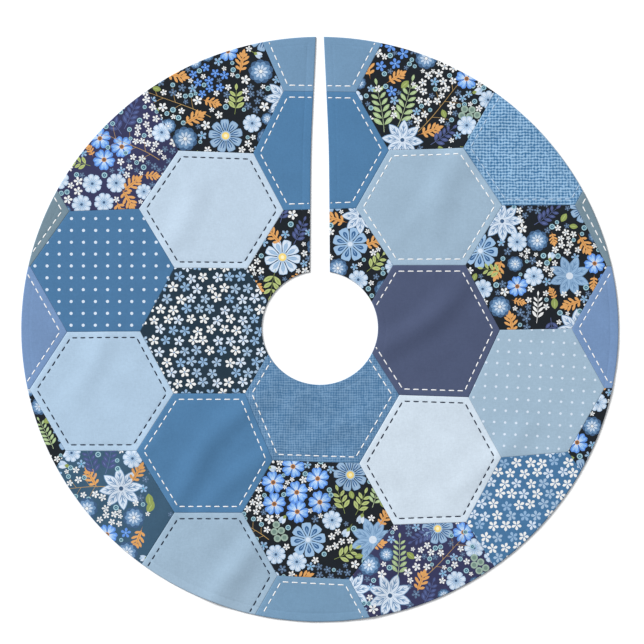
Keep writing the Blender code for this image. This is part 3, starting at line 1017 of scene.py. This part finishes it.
def slub(points):
    """0 in the gaps and 1 on the thick pale yarns of an uneven basket weave, 5.8 mm apart."""
    x, y = points.T / (5.8 * MM)
    u = x + 0.16 * lattice_noise(x * 0.9, y * 0.9, 11) + 0.10 * lattice_noise(x * 2.3, y * 2.3, 12)
    v = y + 0.14 * lattice_noise(x * 0.8, y * 0.8, 13) + 0.10 * lattice_noise(x * 2.1, y * 2.1, 14)
    across, down = np.cos(2 * np.pi * u), np.cos(2 * np.pi * v)
    joined_x = 0.5 + 0.5 * lattice_noise(np.floor(v + 0.5) * 7.3, u * 0.75, 15)
    joined_y = 0.5 + 0.5 * lattice_noise(u * 0.9, v * 0.9, 16)
    weave = 0.52 * across * (1 - 0.55 * joined_y) + 0.66 * down * (1 - 0.35 * joined_x)
    weave += 0.34 * lattice_noise(x * 1.5, y * 1.5, 17) + 0.26 * lattice_noise(x * 3.4, y * 3.4, 18)
    return smooth_step(weave, -0.62, 0.62)


def denim(points):
    """0 to 1 over a finer, softer cross weave, 4.7 mm apart."""
    x, y = points.T / (4.7 * MM)
    u = x + 0.18 * lattice_noise(x * 0.5, y * 0.5, 21)
    v = y + 0.18 * lattice_noise(x * 0.5, y * 0.5, 22)
    weave = 0.40 * np.cos(2 * np.pi * u) + 0.46 * np.cos(2 * np.pi * v)
    weave += 0.30 * lattice_noise(u * 0.45 + 9, v * 1.6, 23) + 0.26 * lattice_noise(u * 1.6, v * 0.45, 24)
    weave += 0.30 * lattice_noise(x * 2.2, y * 2.2, 25)
    return smooth_step(weave, -1.0, 1.1)


WEAVES = {
    "slub_weave": (slub, srgb(58, 112, 158), srgb(160, 198, 230), 0.34 * MM),
    "denim_weave": (denim, srgb(66, 111, 152), srgb(126, 162, 196), 0.22 * MM),
}


# ---- the settled sheet
SETTLING_FRAMES = 30
MOST_LIFT = 9 * MM
LAID_HIGHER = 2.2  # the folds sink as the cloth settles


def settle():
    """One layer of cloth, laid down in long soft folds, settles on the floor. Returns which of the
    sheet's grid points it covers, and its height at each of those."""
    r = np.hypot(sheet.x, sheet.y)
    cloth = (r > TRUNK_RADIUS - 4 * MM) & (r < OUTER_RADIUS + 4 * MM)
    cloth &= (sheet.y < 0) | (np.abs(sheet.x) > 12 * MM)
    number = np.full(cloth.shape, -1)
    number[cloth] = np.arange(cloth.sum())
    quads = np.stack([number[:-1, :-1], number[1:, :-1], number[1:, 1:], number[:-1, 1:]], axis=-1)
    quads = quads.reshape(-1, 4)
    quads = quads[(quads >= 0).all(axis=1)]
    start = sheet.height[cloth] * LAID_HIGHER + 3 * MM
    points = np.column_stack([sheet.x[cloth], sheet.y[cloth], start])
    mesh = bpy.data.meshes.new("settling")
    mesh.from_pydata(points.tolist(), [], quads.tolist())
    layer = bpy.data.objects.new("settling", mesh)
    bpy.context.scene.collection.objects.link(layer)
    bpy.ops.mesh.primitive_plane_add(size=3)
    ground = bpy.context.object
    ground.modifiers.new("ground", "COLLISION")
    ground.collision.thickness_outer = 0.5 * MM
    ground.collision.cloth_friction = 30
    modifier = layer.modifiers.new("cloth", "CLOTH")
    for setting, value in (("quality", 6), ("mass", 0.02), ("tension_stiffness", 20),
                           ("compression_stiffness", 20), ("shear_stiffness", 10),
                           ("bending_stiffness", 20)):
        setattr(modifier.settings, setting, value)
    modifier.collision_settings.distance_min = 1 * MM
    modifier.collision_settings.use_self_collision = False
    modifier.point_cache.frame_end = SETTLING_FRAMES
    scene = bpy.context.scene
    scene.frame_start, scene.frame_end = 1, SETTLING_FRAMES
    for frame_number in range(1, SETTLING_FRAMES + 1):
        scene.frame_set(frame_number)
    settled = layer.evaluated_get(bpy.context.evaluated_depsgraph_get()).to_mesh()
    places = np.zeros(len(settled.vertices) * 3, np.float32)
    settled.vertices.foreach_get("co", places)
    heights = places.reshape(-1, 3)[:, 2].astype(float)
    scene.frame_set(1)
    for obj in (layer, ground):
        bpy.data.objects.remove(obj)
    heights -= np.percentile(heights, 2)
    return cloth, np.clip(heights, 0, MOST_LIFT)


def spread_out(known, values):
    """Fills a grid outwards from its known cells, then softens it a little."""
    grid = np.where(known, values, 0.0)
    there = known.copy()
    while not there.all():
        total, count = np.zeros_like(grid), np.zeros_like(grid)
        for shift, axis in ((1, 0), (-1, 0), (1, 1), (-1, 1)):
            total += np.roll(grid * there, shift, axis)
            count += np.roll(there, shift, axis)
        new = ~there & (count > 0)
        grid[new] = total[new] / count[new]
        there |= new
    for _ in range(2):
        side = sum(np.roll(grid, s, a) for s, a in ((1, 0), (-1, 0), (1, 1), (-1, 1)))
        grid = grid * 0.5 + side * 0.125
    return grid


cloth, heights = settle()
values = np.zeros(cloth.shape)
values[cloth] = heights
sheet.height = spread_out(cloth, values)


# ---- materials
class Look:
    """A material made of a few nodes over object space."""

    def __init__(self, name, roughness, sheen, specular=0.05):
        self.material = bpy.data.materials.new(name)
        self.material.use_nodes = True
        self.tree = self.material.node_tree
        self.shader = self.tree.nodes["Principled BSDF"]
        self.feed(self.shader, {"Roughness": roughness, "Specular IOR Level": specular,
                                "Sheen Weight": sheen, "Sheen Roughness": 0.5})
        self.where = self.node("TexCoord").outputs["Object"]

    def feed(self, node, inputs):
        """Sets a node's inputs, each to a value or to another node's output."""
        for name, value in inputs.items():
            if isinstance(value, bpy.types.NodeSocket):
                self.tree.links.new(value, node.inputs[name])
            else:
                node.inputs[name].default_value = value

    def node(self, kind, inputs=None, **settings):
        node = self.tree.nodes.new("ShaderNode" + kind)
        for name, value in settings.items():
            setattr(node, name, value)
        self.feed(node, inputs or {})
        return node

    def noise(self, scale, detail, stretch=(1, 1, 1)):
        place = self.node("Mapping", {"Vector": self.where, "Scale": stretch}).outputs["Vector"]
        return self.node("TexNoise", {"Vector": place, "Scale": scale, "Detail": detail}).outputs["Fac"]

    def between(self, value, low, high):
        """Spreads a noise's values over a range."""
        return self.node("MapRange", {"Value": value, "From Min": 0.3, "From Max": 0.7, "To Min": low,
                                      "To Max": high}).outputs["Result"]

    def joined(self, operation, a, b):
        return self.node("Math", {0: a, 1: b}, operation=operation).outputs["Value"]

    def threads(self, direction, period):
        """Ridges along one direction, as far apart as the yarns."""
        inputs = {"Vector": self.where, "Scale": 0.314 / period, "Distortion": 1.1, "Detail": 1,
                  "Detail Scale": 1.4}
        return self.node("TexWave", inputs, bands_direction=direction).outputs["Fac"]

    def colour(self, base, shade):
        scaled = self.node("VectorMath", {0: base, "Scale": shade}, operation="SCALE")
        self.feed(self.shader, {"Base Color": scaled.outputs["Vector"]})

    def relief(self, height, distance, strength):
        bump = self.node("Bump", {"Height": height, "Distance": distance, "Strength": strength})
        self.feed(self.shader, {"Normal": bump.outputs["Normal"]})


def cotton(name, colour=None, yarn=0.55 * MM, bump=0.10 * MM, tone=0.05, roughness=0.72):
    """Woven cotton. Its colour is its print, or one dye, faded and mottled a little."""
    look = Look(name, roughness, 0.03)
    mottle = look.between(look.noise(16, 2), 1 - tone, 1 + tone * 0.4)
    grain_across, grain_down = (look.between(look.noise(420, 2, stretch), 0.965, 1.03)
                                for stretch in ((0.4, 1, 1), (1, 0.4, 1)))
    shade = look.joined("MULTIPLY", mottle, look.joined("MULTIPLY", grain_across, grain_down))
    if colour is None:
        look.colour(look.node("VertexColor", layer_name="print").outputs["Color"], shade)
    else:
        look.colour([c * LIGHT_SHARE for c in colour], shade)
    rough = look.between(look.noise(60, 3), roughness - 0.05, roughness + 0.08)
    look.feed(look.shader, {"Roughness": rough})
    look.relief(look.joined("ADD", look.threads("X", yarn), look.threads("Y", yarn)), bump, 0.5)
    return look.material


def sewing_thread(name, colour):
    """Two-ply cotton thread, its fibres a little uneven in tone."""
    look = Look(name, 0.62, 0.05)
    look.colour([c * LIGHT_SHARE for c in colour], look.between(look.noise(1500, 3), 0.90, 1.03))
    look.relief(look.noise(2600, 2), 0.05 * MM, 0.4)
    return look.material


PRINTED = cotton("printed_cotton", tone=0.03)
PLAIN = cotton("plain_cotton", tone=0.05, roughness=0.64)
COARSE = cotton("coarse_weave", yarn=0.8 * MM, bump=0.14 * MM, tone=0.06, roughness=0.78)
LINING_DYE, FACING_DYE = srgb(206, 214, 222), srgb(120, 150, 180)
LINING = cotton("lining_cotton", LINING_DYE, tone=0.04)
FACING = cotton("facing_cotton", FACING_DYE, tone=0.04)
WHITE_THREAD = sewing_thread("white_thread", srgb(255, 255, 255))
PALE_THREAD = sewing_thread("pale_thread", srgb(186, 212, 236))
NAVY_THREAD = sewing_thread("navy_thread", srgb(24, 34, 58))


# ---- the patches
PLAIN_GROUNDS = {
    "slate_plain": srgb(114, 149, 181),
    "blue_plain": srgb(80, 125, 166),
    "steel_plain": srgb(117, 152, 182),
    "pale_plain": srgb(190, 209, 227),
    "sky_plain": srgb(175, 200, 223),
    "ice_plain": srgb(207, 221, 234),
    "mist_plain": srgb(157, 182, 203),
    "navy_plain": srgb(78, 88, 117),
    "grey_plain": srgb(115, 137, 150),
    "periwinkle_plain": srgb(116, 145, 186),
}
GROUNDS = {
    **PLAIN_GROUNDS,
    "ink_floral": DYES["ink"],
    "indigo_floral": DYES["indigo"],
    "teal_floral": DYES["teal"],
    "navy_ditsy": DYES["ditsy_ink"],
    "steel_ditsy": DYES["ditsy_steel"],
    "blue_dotted": srgb(76, 120, 161),
    "mist_dotted": srgb(160, 185, 205),
}
DOTTED = {
    "blue_dotted": (22.7 * MM, 22.7 * MM, 3.0 * MM, 0.0),
    "mist_dotted": (20.5 * MM, 22.5 * MM, 2.4 * MM, -3.0),
}
# The fabrics that are stitched in navy, and one patch more
NAVY_STITCHED = ("pale_plain", "sky_plain", "ice_plain", "mist_patch_front_left")
# name, fabric, and the hexagon's column and row, in pitches from the trunk hole's centre
PATCHES = (
    ("grey_patch_far_left", "grey_plain", -3, 1),
    ("periwinkle_patch_far_left", "periwinkle_plain", -3, 0),
    ("floral_patch_far_left", "ink_floral", -3, -1),
    ("floral_patch_left_back", "indigo_floral", -2, 1.5),
    ("dotted_patch_left", "blue_dotted", -2, 0.5),
    ("sky_patch_left", "sky_plain", -2, -0.5),
    ("floral_patch_left_front", "teal_floral", -2, -1.5),
    ("floral_patch_back_left", "ink_floral", -1, 2),
    ("pale_patch_back_left", "pale_plain", -1, 1),
    ("ditsy_patch_trunk_left", "navy_ditsy", -1, 0),
    ("blue_patch_front_left", "blue_plain", -1, -1),
    ("mist_patch_front_left", "mist_plain", -1, -2),
    ("slate_patch_mouth", "slate_plain", 0, 2.5),
    ("blue_patch_slit", "blue_plain", 0, 1.5),
    ("floral_patch_trunk_back", "ink_floral", 0, 0.5),
    ("denim_patch_trunk_front", "denim_weave", 0, -0.5),
    ("floral_patch_front", "ink_floral", 0, -1.5),
    ("steel_patch_front", "steel_plain", 0, -2.5),
    ("floral_patch_back_right", "ink_floral", 1, 2),
    ("mist_patch_back_right", "mist_plain", 1, 1),
    ("navy_patch_trunk_right", "navy_plain", 1, 0),
    ("ice_patch_front_right", "ice_plain", 1, -1),
    ("floral_patch_front_right", "indigo_floral", 1, -2),
    ("slub_patch_right_back", "slub_weave", 2, 1.5),
    ("floral_patch_right", "ink_floral", 2, 0.5),
    ("dotted_patch_right", "mist_dotted", 2, -0.5),
    ("ditsy_patch_right_front", "steel_ditsy", 2, -1.5),
    ("grey_patch_far_right", "grey_plain", 3, 1),
    ("periwinkle_patch_far_right", "periwinkle_plain", 3, 0),
    ("floral_patch_far_right", "ink_floral", 3, -1),
)


def move_with(obj, sign):
    """A piece beside the slit has its place baked into its mesh, and any other is attached to the
    skirt."""
    if sign:
        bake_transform(obj)
    else:
        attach(obj, "skirt")


def printed_shapes(name, fabric, middle):
    if fabric in DOTTED:
        return dots(*DOTTED[fabric])
    return ditsy(zlib.crc32(name.encode())) if "ditsy" in fabric else floral(name, middle)


def make_patch(name, fabric, corners, side_name="", sign=0):
    """One patch, or its half on one side of the slit, with its print or weave and its stitches."""
    stitched = fabric in PLAIN_GROUNDS or fabric in WEAVES
    drawing = patch_drawing(corners, sign, stitched)
    material, tint = PRINTED, None

    def surface(points):
        height = patch_surface(points, corners, stitched)
        if fabric in WEAVES:
            edge = np.minimum(hexagon_distance(points, corners), open_distance(points))
            height += (weave(points) - 0.8) * rise * np.clip(edge / (2 * MM), 0, 1)
        return height

    if fabric in WEAVES:
        weave, ground, light, rise = WEAVES[fabric]
        material = COARSE
        yarn_colour = np.array(light) - np.array(ground)
        drawing.grid(WEAVE_GRID)

        def tint(points, base):
            return base + yarn_colour * weave(points)[:, None]
    elif stitched:
        ground, material = GROUNDS[fabric], PLAIN
        drawing.grid(CLOTH_GRID)

        def tint(points, base):
            # Painted highlight: the cloth outside the stitching line, over the seam allowance, and the band
            # over the turned hem are coloured a touch lighter, as raised cloth that catches more light
            outside = hexagon_distance(points, corners) < STITCH_INSET
            hem_highlight = open_distance(points) < FACING_WIDTH
            return base * (1 + 0.055 * outside + 0.03 * hem_highlight)[:, None]
    else:
        ground = GROUNDS[fabric]
        for points, dye in printed_shapes(name, fabric, corners.mean(axis=0)):
            points = points + corners.mean(axis=0)
            edge = np.minimum(open_distance(points), hexagon_distance(points, corners))
            if edge.max() > 0 and (not sign or (points[:, 0] * sign).max() > 0):
                drawing.add(points, dye)
        drawing.grid(CLOTH_GRID)
    piece = f"{name}_{side_name}" if sign else name
    obj, flat, area = closed_cloth(piece + "_cloth", drawing, surface, PATCH_UNDERSIDE, ground,
                                   material, tint)
    thread = None
    if stitched:
        navy = fabric in NAVY_STITCHED or name in NAVY_STITCHED
        spool = PALE_THREAD if fabric == "slub_weave" else NAVY_THREAD if navy else WHITE_THREAD
        thread = stitching(piece + "_stitching", corners, sign, surface, spool)
    for one in filter(None, (obj, thread)):
        move_with(one, sign)
    nodes = [f"{piece}_strip", f"{piece}_corner"] if sign else [name]
    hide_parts(*nodes)


def make_panel(name, node, material, ground, inner, outer, start, sweep, sign=0,
               margin=0, width=None):
    """Part of the layer under the patches, drawn on its underside. Its sides are two circles, the
    slit's edge or a line beside it, and for a slit facing a second line, its width further away."""
    bounds = [sector(inner, outer, start, start + sweep)]
    if sign:
        bounds.append(slit_side(sign, margin))
    drawing = Drawing(bounds, [slit_side(sign, width)] if width else [])
    for inset in EDGE_RINGS[:3]:
        drawing.add(sector(inner + inset, outer - inset, start, start + sweep))
        if sign:
            drawing.add(slit_side(sign, margin + inset))
        if width:
            drawing.add(slit_side(sign, width - inset))
    drawing.grid(CLOTH_GRID)

    def underside(points):
        x, y = points.T
        r = np.hypot(x, y)
        edge = np.minimum(outer - r, r - inner)
        if sign:
            edge = np.minimum(edge, beside_slit(x, y) - margin)
        if width:
            edge = np.minimum(edge, width - beside_slit(x, y))
        return 0.32 * MM * np.clip(1 - edge / MM, 0, 1) ** 2

    obj, flat, area = closed_cloth(name, drawing, underside, LINING_TOP, ground, material,
                                   facing_down=True)
    move_with(obj, sign)
    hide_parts(node)


LINING_MARGIN = FACING_WIDTH + 2 * SEAM_GAP
LINING_INNER, LINING_OUTER = TRUNK_RADIUS + LINING_MARGIN, OUTER_RADIUS - LINING_MARGIN
# CAD node, fabric, material, colour, inner and outer radius, and how far from the slit's edge
RINGS = (
    ("lining", "lining_cotton", LINING, LINING_DYE, LINING_INNER, LINING_OUTER, LINING_MARGIN),
    ("outer_facing", "facing_cotton", FACING, FACING_DYE, OUTER_RADIUS - FACING_WIDTH, OUTER_RADIUS, 0),
    ("trunk_facing", "facing_cotton", FACING, FACING_DYE, TRUNK_RADIUS, TRUNK_RADIUS + FACING_WIDTH, 0),
)
for node, fabric, material, ground, inner, outer, margin in RINGS:
    make_panel(f"{node}_front_cloth", node, material, ground, inner, outer, 180.01, 179.98)
    for side_name, sign in SIDES:
        make_panel(f"{node}_back_{side_name}_cloth", f"{node}_{side_name}_strip", material,
                   ground, inner, outer, 0.01 if sign > 0 else 89, 90.98, sign, margin)
for side_name, sign in SIDES:
    make_panel(f"slit_facing_{side_name}_cloth", f"slit_facing_{side_name}", FACING,
               FACING_DYE, LINING_INNER, LINING_OUTER, 60, 60, sign, 0, FACING_WIDTH)

for name, fabric, column, row in PATCHES:
    corners = patch_corners(column, row)
    if column == 0 and row > 0:
        for side_name, sign in SIDES:
            make_patch(name, fabric, corners, side_name, sign)
    else:
        make_patch(name, fabric, corners)

# ---- floor, light and camera
floor_look = Look("floor_paint", 0.9, 0.0, specular=0.1)
floor_look.colour((0.93, 0.935, 0.94), floor_look.between(floor_look.noise(1.5, 2), 0.985, 1.0))
bpy.ops.mesh.primitive_plane_add(size=60)
floor = bpy.context.object
floor.name = "floor"
floor.data.materials.append(floor_look.material)

world = bpy.data.worlds.new("studio")
bpy.context.scene.world = world
world.use_nodes = True
world.node_tree.nodes["Background"].inputs["Color"].default_value = (1.0, 1.0, 1.0, 1)
world.node_tree.nodes["Background"].inputs["Strength"].default_value = 0.52


def aimed(name, data, place, aim):
    """A light or camera in the scene, looking from one place at another."""
    obj = bpy.data.objects.new(name, data)
    bpy.context.scene.collection.objects.link(obj)
    obj.location = place
    obj.rotation_mode = "QUATERNION"
    obj.rotation_quaternion = (Vector(aim) - Vector(place)).to_track_quat("-Z", "Y")
    return obj


softbox = bpy.data.lights.new("key_softbox", "AREA")
softbox.size = 11
softbox.energy = 9200
aimed("key_softbox", softbox, (-17.2, 14.0, 15.2), (0, 0, 0))

lens = bpy.data.cameras.new("camera")
lens.sensor_width = 36
lens.lens = 716.4
lens.clip_end = 200
CAMERA_ELEVATION, CAMERA_DISTANCE = math.radians(78.3), 24.0
aim = Vector((0.0041, 0.0115, 0))
away = Vector((0, -math.cos(CAMERA_ELEVATION), math.sin(CAMERA_ELEVATION)))
bpy.context.scene.camera = aimed("camera", lens, aim + away * CAMERA_DISTANCE, aim)
bpy.context.scene.view_settings.view_transform = "Standard"
